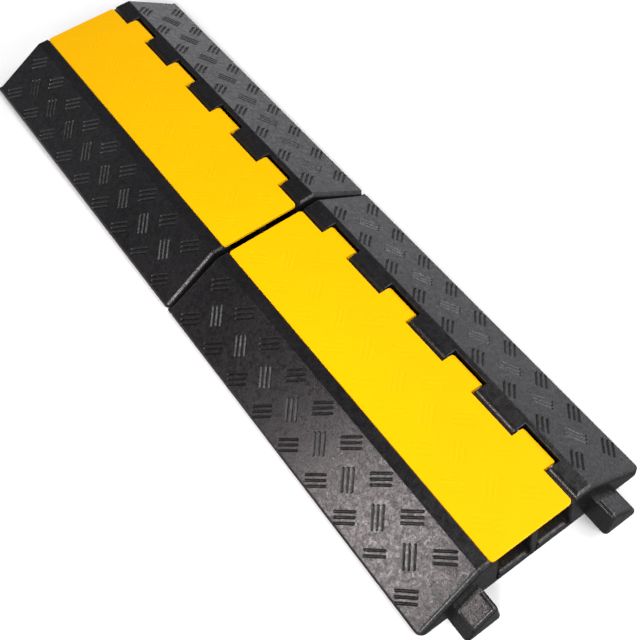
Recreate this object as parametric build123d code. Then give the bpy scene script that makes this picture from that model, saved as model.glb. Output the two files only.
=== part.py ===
from build123d import *
import math
import os

# Cable protector ramp: two identical hinged modules laid end to end.
# X runs across the ramp, Y along the cables, Z up. The lugged front end is at -Y.
# The origin is the centre of the whole footprint, on the floor. All sizes are in millimetres.

# ---- driving dimensions of one module ----
LENGTH = 502.0  # along Y at the floor
WIDTH = 300.0
HEIGHT = 50.0
LIP_HEIGHT = 6.0  # height of the outer edges of the two ramps
CROWN_WIDTH = 150.0  # width of the level top between the ramps
CROWN_SHIFT = 2.5  # how far the level top sits towards the hinge side
MODULE_GAP = 5.0  # between the two modules at the floor

# ---- module body ----
FRONT_DRAFT = 3.0  # how far the front end face leans in over the full height
REAR_DRAFT = 1.5
FRONT_CORNER_RADIUS = 9.0
REAR_CORNER_RADIUS = 5.0
FRONT_EDGE_RADIUS = 6.0  # along the ramps and the crown
REAR_EDGE_RADIUS = 2.0
LIP_EDGE_RADIUS = 3.0
REAR_FOOT_REACH = MODULE_GAP - 0.5  # a low foot closes the gap to the next module
REAR_FOOT_HEIGHT = 4.0
CROWN_EDGE_RADIUS = 4.0

# ---- cable channels ----
CHANNEL_FLOOR = 7.5
LEDGE_HEIGHT = 46.0  # where the lid rests
CHANNEL_WALL = 48.0  # distance of both outer channel walls from the centre line
DIVIDER_LEFT = -5.5
DIVIDER_RIGHT = 4.0
CHANNEL_FOOT_RADIUS = 4.0
WALL_MOUTH_RADIUS = 6.0  # the outer walls are rounded where the channels open
DIVIDER_MOUTH_RADIUS = 4.6
FLOOR_MOUTH_RADIUS = 5.5

# ---- lid ----
LID_THICKNESS = HEIGHT - LEDGE_HEIGHT
LID_LEFT = -57.0
LID_RIGHT = 50.5
LID_FRONT_INSET = 4.0
LID_REAR_INSET = 2.0
LID_GAP = 0.5  # to the shoulder on the left
LID_CORNER_RADIUS = 5.0
LID_EDGE_RADIUS = 1.0
RIB_PLACES = (-38.0, -16.0, 15.0, 37.0)  # stiffening ribs under the lid
RIB_WIDTH = 3.0
RIB_HEIGHT = 4.0
RIB_END_INSET = 40.0
TAB_COUNT = 4
TAB_PITCH = 118.4
TAB_LENGTH = 49.5
TAB_CORNER_RADIUS = 4.0
TAB_SIDE_GAP = 2.5

# ---- hinge ----
KNUCKLE_RADIUS = 7.5
HINGE_X = 61.0
HINGE_Z = HEIGHT - KNUCKLE_RADIUS
KNUCKLE_EDGE_RADIUS = 1.0
TAB_POCKET_LEFT = 52.0
TAB_POCKET_RIGHT = HINGE_X + 10.5
TAB_POCKET_FLOOR = HINGE_Z - KNUCKLE_RADIUS - 1.0
ROD_RADIUS = 3.0
ROD_FIT_IN_BASE = 0.02
ROD_FIT_IN_LID = 0.06
ROD_BLIND_WALL = 8.0  # solid rubber in front of the bore
ROD_END_PLAY = 1.0  # at the blind end
ROD_END_INSET = 4.0  # behind the mouth of the bore, at the rear end
ROD_CHAMFER = 0.6

# ---- joining lugs on the front end and sockets in the rear end ----
LUG_REACH = 31.0
LUG_OUTER_FOOT = 115.0
LUG_OUTER_TOP = 105.0
LUG_INNER_TOP = 76.0
LUG_INNER_FOOT = 70.0
LUG_BELOW_RAMP = 14.0
LUG_EDGE_RADIUS = 5.0
NECK_LENGTH = 8.0
NECK_DROP = 7.0
SOCKET_CLEARANCE = 1.0
SOCKET_LIP = 2.2

# ---- hollows under the ramps ----
HOLLOW_COUNT = 7
HOLLOW_PITCH = 58.0
HOLLOW_LENGTH = 50.0
HOLLOW_SHIFT = -12.0
HOLLOW_OUTER = 132.0
HOLLOW_INNER = 60.0
HOLLOW_SKIN = 12.0
HOLLOW_TOP = TAB_POCKET_FLOOR - 4.0  # under the crown

# ---- tread: groups of three short grooves, in three columns on each surface ----
BAR_LENGTH = 28.0
BAR_WIDTH = 3.8
BAR_SPACING = 6.2
BAR_DEPTH = 1.8
BAR_TAPER = 45.0
BARS_PER_GROUP = 3
GROUPS_PER_COLUMN = 9
GROUP_PITCH = 54.0
FIRST_ROW = 38.0  # from the front end
COLUMN_STEP = 28.8
RAMP_FIRST_COLUMN = 14.2  # up the slope from the lip
LID_FIRST_COLUMN = -34.0
LID_BAR_DEPTH = 0.15
LID_BAR_TAPER = 72.0

CLEAR = 5.0  # overrun of every cutter past the face it cuts
FRONT = -LENGTH / 2  # front end of a module in its own frame
REAR = LENGTH / 2
ASSEMBLY_LENGTH = LUG_REACH + 2 * LENGTH + MODULE_GAP + REAR_FOOT_REACH
FRONT_MODULE_Y = -ASSEMBLY_LENGTH / 2 + LUG_REACH + LENGTH / 2
REAR_MODULE_Y = FRONT_MODULE_Y + LENGTH + MODULE_GAP


def crown(side):
    """Distance of one edge of the level top from the centre line."""
    return CROWN_WIDTH / 2 + side * CROWN_SHIFT


def ramp_height(side, distance):
    """Height of a ramp's surface at a distance from the centre line."""
    run = WIDTH / 2 - crown(side)
    return LIP_HEIGHT + (HEIGHT - LIP_HEIGHT) * (WIDTH / 2 - distance) / run


def along_y(profile, start, end):
    """A prism of an X-Z outline between two places along Y."""
    outline = Plane.XZ * make_face(profile)
    return Pos(0, end, 0) * extrude(outline, end - start)


def closed(points):
    return Polyline(*points, close=True)


def outer_form():
    half = WIDTH / 2
    section = closed([
        (-half, 0),
        (half, 0),
        (half, LIP_HEIGHT),
        (crown(1), HEIGHT),
        (-crown(-1), HEIGHT),
        (-half, LIP_HEIGHT),
    ])
    side = closed([
        (FRONT, 0),
        (REAR, 0),
        (REAR - REAR_DRAFT, HEIGHT),
        (FRONT + FRONT_DRAFT, HEIGHT),
    ])
    face = make_face(section)
    lips = [v for v in face.vertices() if abs(v.Y - LIP_HEIGHT) < 1]
    face = fillet(lips, LIP_EDGE_RADIUS)
    crowns = [v for v in face.vertices() if v.Y > HEIGHT - 1]
    face = fillet(crowns, CROWN_EDGE_RADIUS)
    prism = Pos(0, REAR, 0) * extrude(Plane.XZ * face, LENGTH)
    ends = Pos(-half, 0, 0) * extrude(Plane.YZ * make_face(side), WIDTH)
    plan = Rectangle(WIDTH, LENGTH)
    plan = fillet(plan.vertices().group_by(Axis.Y)[0], FRONT_CORNER_RADIUS)
    plan = fillet(plan.vertices().group_by(Axis.Y)[-1], REAR_CORNER_RADIUS)
    return prism & ends & extrude(plan, HEIGHT)


def soften_end(body, end, draft, radius):
    """Rounds the edges where an end face meets the ramps and the crown."""
    edges = [
        edge for edge in body.edges()
        if abs(edge.center().Y - end) < draft * 1.2
        and abs(edge.center().X) < WIDTH / 2 - FRONT_CORNER_RADIUS
        and edge.center().Z > LIP_HEIGHT
    ]
    return fillet(edges, radius)


def lid_recess():
    """The seat of the lid, with its right side rounded round the hinge axis."""
    top = HEIGHT + CLEAR
    left = LID_LEFT - LID_GAP
    knuckle_left = HINGE_X - math.sqrt(KNUCKLE_RADIUS**2 - (LEDGE_HEIGHT - HINGE_Z) ** 2)
    outline = Polyline(
        (HINGE_X, HEIGHT),
        (HINGE_X, top),
        (left, top),
        (left, LEDGE_HEIGHT),
        (knuckle_left, LEDGE_HEIGHT),
    ) + RadiusArc((knuckle_left, LEDGE_HEIGHT), (HINGE_X, HEIGHT), KNUCKLE_RADIUS)
    return along_y(outline, FRONT - CLEAR, REAR + CLEAR)


def channel(left, right):
    height = LEDGE_HEIGHT + CLEAR - CHANNEL_FLOOR
    middle = Pos((left + right) / 2, CHANNEL_FLOOR + height / 2)
    section = Plane.XZ * (middle * Rectangle(right - left, height))
    cutter = Pos(0, REAR + CLEAR, 0) * extrude(section, LENGTH + 2 * CLEAR)
    foot = cutter.edges().filter_by(Axis.Y).group_by(Axis.Z)[0]
    return fillet(foot, CHANNEL_FOOT_RADIUS)


def flare(wall, into, radius):
    """Cutter that rounds the upright edge of a channel wall at its mouth."""
    corner = Pos(wall + into * radius / 2, FRONT + radius / 2) * Rectangle(radius, radius)
    disc = Pos(wall + into * radius, FRONT + radius) * Circle(radius)
    foot = CHANNEL_FLOOR - FLOOR_MOUTH_RADIUS
    return Pos(0, 0, foot) * extrude(corner - disc, LEDGE_HEIGHT + CLEAR - foot)


def floor_flare(left, right):
    """Cutter that rounds the edge of a channel's floor at its mouth."""
    radius = FLOOR_MOUTH_RADIUS
    corner = Pos(FRONT + radius / 2, CHANNEL_FLOOR - radius / 2) * Rectangle(radius, radius)
    disc = Pos(FRONT + radius, CHANNEL_FLOOR - radius) * Circle(radius)
    return Pos(left, 0, 0) * extrude(Plane.YZ * (corner - disc), right - left)


def tab_centres():
    return [(i - (TAB_COUNT - 1) / 2) * TAB_PITCH for i in range(TAB_COUNT)]


def tab_pocket(y):
    half = TAB_LENGTH / 2 + TAB_SIDE_GAP
    pocket = closed([
        (TAB_POCKET_LEFT, TAB_POCKET_FLOOR),
        (TAB_POCKET_RIGHT, TAB_POCKET_FLOOR),
        (TAB_POCKET_RIGHT, HEIGHT + CLEAR),
        (TAB_POCKET_LEFT, HEIGHT + CLEAR),
    ])
    return along_y(pocket, y - half, y + half)


def soften_top(body):
    """Rounds the top edges of the knuckles and tab pockets, and of the lid recess."""
    inside = REAR - FRONT_EDGE_RADIUS * 2
    top = [
        edge for edge in body.edges()
        if abs(edge.center().Z - HEIGHT) < 0.01
        and abs(edge.center().Y) < inside
        and LID_LEFT - 1 < edge.center().X < TAB_POCKET_RIGHT + 0.01
        and abs(edge.center().X - HINGE_X) > 1
    ]
    knuckle_ends = [
        edge for edge in body.edges().filter_by(GeomType.CIRCLE)
        if abs(edge.radius - KNUCKLE_RADIUS) < 0.01 and abs(edge.center().Y) < inside
    ]
    return fillet(top + knuckle_ends, KNUCKLE_EDGE_RADIUS)


def rod_bore(radius, start, end):
    bore = Cylinder(radius, end - start, rotation=(90, 0, 0))
    return Pos(HINGE_X, (start + end) / 2, HINGE_Z) * bore


def lug_section(side, grow, drop):
    """Outline of a lug: its top runs parallel to the ramp, below it."""
    outer_top = ramp_height(side, LUG_OUTER_TOP) - LUG_BELOW_RAMP - drop
    inner_top = ramp_height(side, LUG_INNER_TOP) - LUG_BELOW_RAMP - drop
    outer_foot = side * (LUG_OUTER_FOOT + grow)
    inner_foot = side * (LUG_INNER_FOOT - grow)
    below = [(inner_foot, -CLEAR), (outer_foot, -CLEAR)] if grow else []
    return closed(below + [
        (outer_foot, 0),
        (side * (LUG_OUTER_TOP + grow), outer_top + grow),
        (side * (LUG_INNER_TOP - grow), inner_top + grow),
        (inner_foot, 0),
    ])


def lug(side):
    head_start = FRONT - LUG_REACH
    head = along_y(lug_section(side, 0, 0), head_start, FRONT - NECK_LENGTH)
    rims = [edge for edge in head.edges() if edge.center().Z > 1]
    front_rims = [edge for edge in rims if edge.center().Y < FRONT - NECK_LENGTH - 1]
    head = fillet(front_rims, LUG_EDGE_RADIUS)
    neck = along_y(lug_section(side, 0, NECK_DROP), FRONT - NECK_LENGTH - 1, FRONT + FRONT_DRAFT + 1)
    return head + neck


def socket(side):
    """Takes the next module's lug from below, behind a lip that drops into its neck."""
    depth = LUG_REACH - MODULE_GAP + SOCKET_CLEARANCE
    room = along_y(lug_section(side, SOCKET_CLEARANCE, 0), REAR - depth, REAR - SOCKET_LIP)
    mouth = lug_section(side, SOCKET_CLEARANCE, NECK_DROP)
    return room + along_y(mouth, REAR - SOCKET_LIP - 1, REAR + CLEAR)


def hollow(side, y):
    shoulder = crown(side)
    outer_top = ramp_height(side, HOLLOW_OUTER) - HOLLOW_SKIN
    section = closed([
        (side * HOLLOW_OUTER, -CLEAR),
        (side * HOLLOW_OUTER, outer_top),
        (side * shoulder, HEIGHT - HOLLOW_SKIN),
        (side * shoulder, HOLLOW_TOP),
        (side * HOLLOW_INNER, HOLLOW_TOP),
        (side * HOLLOW_INNER, -CLEAR),
    ])
    return along_y(section, y - HOLLOW_LENGTH / 2, y + HOLLOW_LENGTH / 2)


def hollows():
    first = HOLLOW_SHIFT - (HOLLOW_COUNT - 1) / 2 * HOLLOW_PITCH
    return [
        hollow(side, first + i * HOLLOW_PITCH)
        for side in (-1, 1)
        for i in range(HOLLOW_COUNT)
    ]


def groove_group(depth, taper):
    """Three parallel grooves as cutters below the plane z = 0."""
    groove = extrude(SlotOverall(BAR_LENGTH, BAR_WIDTH), -depth, taper=taper)
    middle = (BARS_PER_GROUP - 1) / 2
    return [Pos(0, (i - middle) * BAR_SPACING, 0) * groove for i in range(BARS_PER_GROUP)]


def tread(surface, group):
    """Three columns of groups: the middle one is staggered and slants the other way."""
    along = 1 if surface.y_dir.Y > 0 else -1
    grooves = []
    for column in range(3):
        staggered = column == 1
        slant = 45 if staggered else -45
        for row in range(GROUPS_PER_COLUMN - staggered):
            y = FIRST_ROW + (row + staggered / 2) * GROUP_PITCH
            place = Pos(column * COLUMN_STEP, along * y, 0) * Rot(0, 0, along * slant)
            grooves += [surface.location * place * groove for groove in group]
    return grooves


def ramp_tread(side):
    run = WIDTH / 2 - crown(side)
    rise = HEIGHT - LIP_HEIGHT
    uphill = Vector(-side * run, 0, rise).normalized()
    outward = Vector(side * rise, 0, run).normalized()
    lip = Vector(side * WIDTH / 2, FRONT, LIP_HEIGHT)
    surface = Plane(origin=lip + uphill * RAMP_FIRST_COLUMN, x_dir=uphill, z_dir=outward)
    return tread(surface, groove_group(BAR_DEPTH, BAR_TAPER))


def lid_tread():
    surface = Plane(origin=(LID_FIRST_COLUMN, FRONT, HEIGHT), x_dir=(1, 0, 0), z_dir=(0, 0, 1))
    return tread(surface, groove_group(LID_BAR_DEPTH, LID_BAR_TAPER))


def rear_foot():
    reach = REAR_FOOT_REACH + REAR_DRAFT
    middle = REAR + REAR_FOOT_REACH - reach / 2
    return Pos(0, middle, REAR_FOOT_HEIGHT / 2) * Box(WIDTH, reach, REAR_FOOT_HEIGHT)


def mouth_flares():
    outer = [flare(side * CHANNEL_WALL, side, WALL_MOUTH_RADIUS) for side in (-1, 1)]
    inner = [flare(DIVIDER_LEFT, 1, DIVIDER_MOUTH_RADIUS), flare(DIVIDER_RIGHT, -1, DIVIDER_MOUTH_RADIUS)]
    floors = [floor_flare(-CHANNEL_WALL, DIVIDER_LEFT), floor_flare(DIVIDER_RIGHT, CHANNEL_WALL)]
    return outer + inner + floors


def base():
    body = soften_end(outer_form(), FRONT, FRONT_DRAFT, FRONT_EDGE_RADIUS)
    body = soften_end(body, REAR, REAR_DRAFT, REAR_EDGE_RADIUS)
    body += [lug(-1), lug(1), rear_foot()]
    body -= lid_recess()
    body -= [channel(-CHANNEL_WALL, DIVIDER_LEFT), channel(DIVIDER_RIGHT, CHANNEL_WALL)]
    body -= mouth_flares()
    body -= [tab_pocket(y) for y in tab_centres()]
    body = soften_top(body)
    body -= [socket(-1), socket(1)]
    body -= hollows()
    body -= rod_bore(ROD_RADIUS + ROD_FIT_IN_BASE, FRONT + ROD_BLIND_WALL, REAR + CLEAR)
    return body - ramp_tread(-1) - ramp_tread(1)


def lid_plate():
    front = FRONT + LID_FRONT_INSET
    rear = REAR - LID_REAR_INSET
    centre = ((LID_LEFT + LID_RIGHT) / 2, (front + rear) / 2, LEDGE_HEIGHT)
    outline = RectangleRounded(LID_RIGHT - LID_LEFT, rear - front, LID_CORNER_RADIUS)
    plate = Pos(*centre) * extrude(outline, LID_THICKNESS)
    return fillet(plate.edges().group_by(Axis.Z)[-1], LID_EDGE_RADIUS)


def lid_rib(x):
    length = LENGTH - 2 * RIB_END_INSET
    return Pos(x, 0, LEDGE_HEIGHT - RIB_HEIGHT / 2) * Box(RIB_WIDTH, length, RIB_HEIGHT)


def lid_tab(y):
    """A flat tongue that ends in a knuckle round the hinge axis."""
    left = LID_RIGHT - LID_CORNER_RADIUS
    right = HINGE_X + KNUCKLE_RADIUS
    plan = Pos((left + right) / 2, y) * Rectangle(right - left, TAB_LENGTH)
    plan = fillet(plan.vertices().group_by(Axis.X)[-1], TAB_CORNER_RADIUS)
    tongue = closed([
        (left, LEDGE_HEIGHT),
        (HINGE_X, LEDGE_HEIGHT),
        (HINGE_X, HEIGHT),
        (left, HEIGHT),
    ])
    half = TAB_LENGTH / 2
    section = along_y(tongue, y - half, y + half) + rod_bore(KNUCKLE_RADIUS, y - half, y + half)
    return section & extrude(plan, HEIGHT + CLEAR)


def lid():
    body = lid_plate() + [lid_tab(y) for y in tab_centres()]
    body += [lid_rib(x) for x in RIB_PLACES]
    body -= rod_bore(ROD_RADIUS + ROD_FIT_IN_LID, FRONT, REAR)
    return body - lid_tread()


def hinge_rod():
    start = FRONT + ROD_BLIND_WALL + ROD_END_PLAY
    rod = rod_bore(ROD_RADIUS, start, REAR - ROD_END_INSET)
    return chamfer(rod.edges(), ROD_CHAMFER)


os.makedirs("parts", exist_ok=True)
for kind, shape in (("base", base()), ("lid", lid()), ("hinge_rod", hinge_rod())):
    for place, y in (("front", FRONT_MODULE_Y), ("rear", REAR_MODULE_Y)):
        export_step(Pos(0, y, 0) * shape, f"parts/{place}_{kind}.step")
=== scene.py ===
import bpy
import math
from mathutils import Matrix, Vector

# Looks for the cable protector ramp. Metres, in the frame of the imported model:
# X across the ramp, Y along the cables, Z up, floor at z = 0.

# ---- camera ----
CAMERA_PLACE = Vector((-0.3429, -0.7649, 1.0473))
CAMERA_HEADING = 31.30  # degrees from +Y towards +X
CAMERA_DIP = 53.76  # degrees below the horizon
CAMERA_ROLL = -5.68  # degrees
CAMERA_LENS = 59.09  # millimetres
CAMERA_SHIFT = (-0.0656, -0.0455)

# ---- rubber ----
RUBBER_DARK = (0.0065, 0.0060, 0.0066, 1)
RUBBER_DUSTY = (0.0115, 0.0105, 0.0112, 1)
RUBBER_ROUGHNESS = (0.27, 0.40)
RUBBER_SHINE = (0.30, 0.66)
PATCH_SIZE = 0.11
LUMP_SIZE = 0.006
SPECK_SIZE = 0.0022
GRAIN_SIZE = 0.0013
LUMP_DEPTH = 0.0003
LUMP_STRENGTH = 0.12
GRAIN_DEPTH = 0.00022
GRAIN_STRENGTH = 0.55

# ---- yellow plastic ----
YELLOW = (0.91, 0.470, 0.0003, 1)
YELLOW_DEEP = (0.89, 0.452, 0.0003, 1)
YELLOW_ROUGHNESS = (0.40, 0.50)
YELLOW_SHINE = 0.07
PEEL_SIZE = 0.0016
PEEL_DEPTH = 0.0001
PEEL_STRENGTH = 0.15

# ---- steel ----
STEEL_DARK = (0.45, 0.45, 0.46, 1)
STEEL_BRIGHT = (0.62, 0.62, 0.63, 1)
STEEL_ROUGHNESS = (0.25, 0.42)
SCRATCH_SIZE = 0.0006
SCRATCH_STRETCH = (1, 0.02, 1)  # scratches run along the rod

# ---- stretches of each noise, which lies between 0 and 1, that the looks are spread over ----
DUST_RANGE = (0.42, 0.68)
LUMP_RANGE = (0.35, 0.65)
SPECK_RANGE = (0.38, 0.62)
YELLOW_PATCH_RANGE = (0.4, 0.7)
PEEL_RANGE = (0.3, 0.7)
SCRATCH_RANGE = (0.3, 0.7)

# ---- floor ----
FLOOR_SIZE = 30.0
FLOOR_COLOUR = (0.93, 0.93, 0.93, 1)
FLOOR_ROUGHNESS = 0.9
GLOW_COLOUR = (1, 1, 1, 1)
GLOW_RANGE = (0.5, 1.7)  # distances from the middle where the floor's glow starts and is full

# ---- room: shades from below the horizon to overhead ----
SKY_RANGE = (-0.25, 0.55)  # heights on a unit sphere that the stops are spread over
SKY_STOPS = (
    (0.0, (0.12, 0.12, 0.125, 1)),
    (0.28, (0.95, 0.95, 0.988, 1)),
    (0.41, (1.1, 1.1, 1.144, 1)),
    (0.57, (0.13, 0.13, 0.1352, 1)),
    (1.0, (0.05, 0.05, 0.055, 1)),
)
SKY_STRENGTH = 1.75

# ---- lights: name, place, target, size, watts, colour ----
WHITE = (1, 1, 1)
WARM_WHITE = (1.0, 0.90, 0.90)
SOFT_LIGHTS = (
    ("key", (-2.0, -2.0, 2.1), (0, 0.1, 0), (1.15, 1.15), 62, WHITE),
    ("fill", (2.4, -0.5, 2.4), (0.2, 0.8, 0), (2.0, 2.0), 80, WHITE),
    ("overhead", (0.75, -1.2, 2.15), (0, 0.15, 0), (0.8, 0.8), 15, WHITE),
    ("front", (0.65, -1.50, 1.00), (0.05, -0.25, 0), (0.5, 0.5), 7, WHITE),
    ("glare", (-0.73, -0.11, 0.60), (-0.11, -0.38, 0.03), (0.30, 0.25), 4.6, WARM_WHITE),
)

METRE = 1.0
MIX_FIRST, MIX_SECOND, MIX_RESULT = 6, 7, 2  # the colour sockets of a Mix node


# ---- shader nodes ----
def node(tree, kind, **inputs):
    """Adds a shader node and sets its unlinked inputs by name."""
    made = tree.nodes.new(kind)
    for name, value in inputs.items():
        made.inputs[name.replace("_", " ")].default_value = value
    return made


def new_material(name):
    material = bpy.data.materials.new(name)
    material.use_nodes = True
    tree = material.node_tree
    return material, tree, tree.nodes["Principled BSDF"]


def place_of(tree):
    return tree.nodes.new("ShaderNodeTexCoord").outputs["Object"]


def noise(tree, place, size, detail=2.0, roughness=0.5):
    """A noise whose features are about size metres across."""
    made = node(tree, "ShaderNodeTexNoise", Scale=METRE / size, Detail=detail, Roughness=roughness)
    tree.links.new(place, made.inputs["Vector"])
    return made.outputs["Fac"]


def spread(tree, value, stretch, results=(0, 1)):
    """Maps a stretch of a value to another stretch, clamped."""
    made = node(
        tree,
        "ShaderNodeMapRange",
        From_Min=stretch[0],
        From_Max=stretch[1],
        To_Min=results[0],
        To_Max=results[1],
    )
    tree.links.new(value, made.inputs["Value"])
    return made.outputs["Result"]


def mixed(tree, amount, first, second):
    made = tree.nodes.new("ShaderNodeMix")
    made.data_type = "RGBA"
    made.inputs[MIX_FIRST].default_value = first
    made.inputs[MIX_SECOND].default_value = second
    tree.links.new(amount, made.inputs[0])
    return made.outputs[MIX_RESULT]


def bumped(tree, height, distance, strength, below=None):
    """A bump over the normal of another bump, or over the bare surface."""
    made = node(tree, "ShaderNodeBump", Strength=strength, Distance=distance)
    tree.links.new(height, made.inputs["Height"])
    if below is not None:
        tree.links.new(below, made.inputs["Normal"])
    return made.outputs["Normal"]


# ---- materials ----
def black_rubber():
    """Moulded rubber: a fine grain over low lumps, shiny specks and faint dusty patches."""
    material, tree, shader = new_material("black_rubber")
    place = place_of(tree)
    patches = noise(tree, place, PATCH_SIZE, detail=5.0, roughness=0.6)
    lumps = noise(tree, place, LUMP_SIZE, detail=3.0)
    specks = noise(tree, place, SPECK_SIZE, detail=2.0, roughness=0.6)
    grain = noise(tree, place, GRAIN_SIZE, detail=3.0, roughness=0.6)
    colour = mixed(tree, spread(tree, patches, DUST_RANGE), RUBBER_DARK, RUBBER_DUSTY)
    roughness = spread(tree, lumps, LUMP_RANGE, RUBBER_ROUGHNESS)
    shine = spread(tree, specks, SPECK_RANGE, RUBBER_SHINE)
    lumpy = bumped(tree, lumps, LUMP_DEPTH, LUMP_STRENGTH)
    grainy = bumped(tree, grain, GRAIN_DEPTH, GRAIN_STRENGTH, lumpy)
    tree.links.new(colour, shader.inputs["Base Color"])
    tree.links.new(roughness, shader.inputs["Roughness"])
    tree.links.new(shine, shader.inputs["Specular IOR Level"])
    tree.links.new(grainy, shader.inputs["Normal"])
    return material


def yellow_plastic():
    """Smooth moulded plastic with a barely visible orange peel."""
    material, tree, shader = new_material("yellow_plastic")
    place = place_of(tree)
    patches = noise(tree, place, PATCH_SIZE, detail=4.0)
    peel = noise(tree, place, PEEL_SIZE, detail=2.0)
    colour = mixed(tree, spread(tree, patches, YELLOW_PATCH_RANGE), YELLOW, YELLOW_DEEP)
    tree.links.new(colour, shader.inputs["Base Color"])
    tree.links.new(spread(tree, peel, PEEL_RANGE, YELLOW_ROUGHNESS), shader.inputs["Roughness"])
    tree.links.new(bumped(tree, peel, PEEL_DEPTH, PEEL_STRENGTH), shader.inputs["Normal"])
    shader.inputs["Specular IOR Level"].default_value = YELLOW_SHINE
    return material


def drawn_steel():
    """Drawn bar: fine scratches along its length."""
    material, tree, shader = new_material("drawn_steel")
    stretched = node(tree, "ShaderNodeMapping", Scale=SCRATCH_STRETCH)
    tree.links.new(place_of(tree), stretched.inputs["Vector"])
    scratches = noise(tree, stretched.outputs["Vector"], SCRATCH_SIZE, detail=3.0)
    colour = mixed(tree, scratches, STEEL_DARK, STEEL_BRIGHT)
    roughness = spread(tree, scratches, SCRATCH_RANGE, STEEL_ROUGHNESS)
    tree.links.new(colour, shader.inputs["Base Color"])
    tree.links.new(roughness, shader.inputs["Roughness"])
    shader.inputs["Metallic"].default_value = 1.0
    return material


def white_floor():
    """Matte white that turns into a glowing white backdrop away from the object."""
    material, tree, shader = new_material("studio_white")
    distance = tree.nodes.new("ShaderNodeVectorMath")
    distance.operation = "LENGTH"
    tree.links.new(place_of(tree), distance.inputs[0])
    glow = spread(tree, distance.outputs["Value"], GLOW_RANGE)
    tree.links.new(glow, shader.inputs["Emission Strength"])
    shader.inputs["Emission Color"].default_value = GLOW_COLOUR
    shader.inputs["Base Color"].default_value = FLOOR_COLOUR
    shader.inputs["Roughness"].default_value = FLOOR_ROUGHNESS
    return material


def dress(nodes):
    """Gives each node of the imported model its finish."""
    finishes = {"base": black_rubber(), "lid": yellow_plastic(), "hinge_rod": drawn_steel()}
    for module in ("front", "rear"):
        for kind, finish in finishes.items():
            for place in nodes[f"{module}_{kind}"].material_slots:
                place.material = finish


# ---- studio ----
def add_floor():
    """A floor that the rubber doesn't mirror, so that its upright faces stay dark."""
    bpy.ops.mesh.primitive_plane_add(size=FLOOR_SIZE)
    floor = bpy.context.object
    floor.name = "studio_floor"
    floor.data.materials.append(white_floor())
    floor.visible_glossy = False


def aim(place, target):
    """A pose at a place, looking at a target."""
    turn = (Vector(target) - Vector(place)).to_track_quat("-Z", "Y")
    return Matrix.Translation(place) @ turn.to_matrix().to_4x4()


def add_soft_light(name, place, target, size, watts, colour):
    data = bpy.data.lights.new(name, "AREA")
    data.shape = "RECTANGLE"
    data.size, data.size_y = size
    data.energy = watts
    data.color = colour
    light = bpy.data.objects.new(name, data)
    light.matrix_world = aim(place, target)
    light.visible_camera = False
    bpy.context.scene.collection.objects.link(light)


def add_world():
    """Bright at the horizon and dim overhead, like a room with lit walls."""
    world = bpy.data.worlds.new("studio")
    bpy.context.scene.world = world
    world.use_nodes = True
    tree = world.node_tree
    background = tree.nodes["Background"]
    directions = tree.nodes.new("ShaderNodeTexCoord")
    parts = tree.nodes.new("ShaderNodeSeparateXYZ")
    tree.links.new(directions.outputs["Generated"], parts.inputs["Vector"])
    ramp = tree.nodes.new("ShaderNodeValToRGB")
    stops = ramp.color_ramp.elements
    lowest, *between, highest = SKY_STOPS
    stops[0].position, stops[0].color = lowest
    stops[1].position, stops[1].color = highest
    for position, colour in between:
        stops.new(position).color = colour
    tree.links.new(spread(tree, parts.outputs["Z"], SKY_RANGE), ramp.inputs["Fac"])
    tree.links.new(ramp.outputs["Color"], background.inputs["Color"])
    background.inputs["Strength"].default_value = SKY_STRENGTH


def add_camera():
    heading = math.radians(CAMERA_HEADING)
    dip = math.radians(CAMERA_DIP)
    roll = math.radians(CAMERA_ROLL)
    ahead = Vector((
        math.sin(heading) * math.cos(dip),
        math.cos(heading) * math.cos(dip),
        -math.sin(dip),
    ))
    level = ahead.cross(Vector((0, 0, 1))).normalized()
    upright = level.cross(ahead)
    right = level * math.cos(roll) + upright * math.sin(roll)
    up = upright * math.cos(roll) - level * math.sin(roll)
    turn = Matrix((right, up, -ahead)).transposed()
    data = bpy.data.cameras.new("camera")
    data.lens = CAMERA_LENS
    data.shift_x, data.shift_y = CAMERA_SHIFT
    camera = bpy.data.objects.new("camera", data)
    camera.matrix_world = Matrix.Translation(CAMERA_PLACE) @ turn.to_4x4()
    bpy.context.scene.collection.objects.link(camera)
    bpy.context.scene.camera = camera


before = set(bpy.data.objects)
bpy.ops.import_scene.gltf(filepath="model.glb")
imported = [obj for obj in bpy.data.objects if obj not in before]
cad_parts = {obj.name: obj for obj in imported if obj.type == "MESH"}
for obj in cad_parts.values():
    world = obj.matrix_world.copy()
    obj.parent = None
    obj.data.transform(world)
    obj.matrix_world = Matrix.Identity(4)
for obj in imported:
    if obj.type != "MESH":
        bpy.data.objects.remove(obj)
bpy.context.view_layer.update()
dress(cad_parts)
add_floor()
add_world()
for soft_light in SOFT_LIGHTS:
    add_soft_light(*soft_light)
add_camera()
bpy.context.scene.view_settings.view_transform = "Standard"
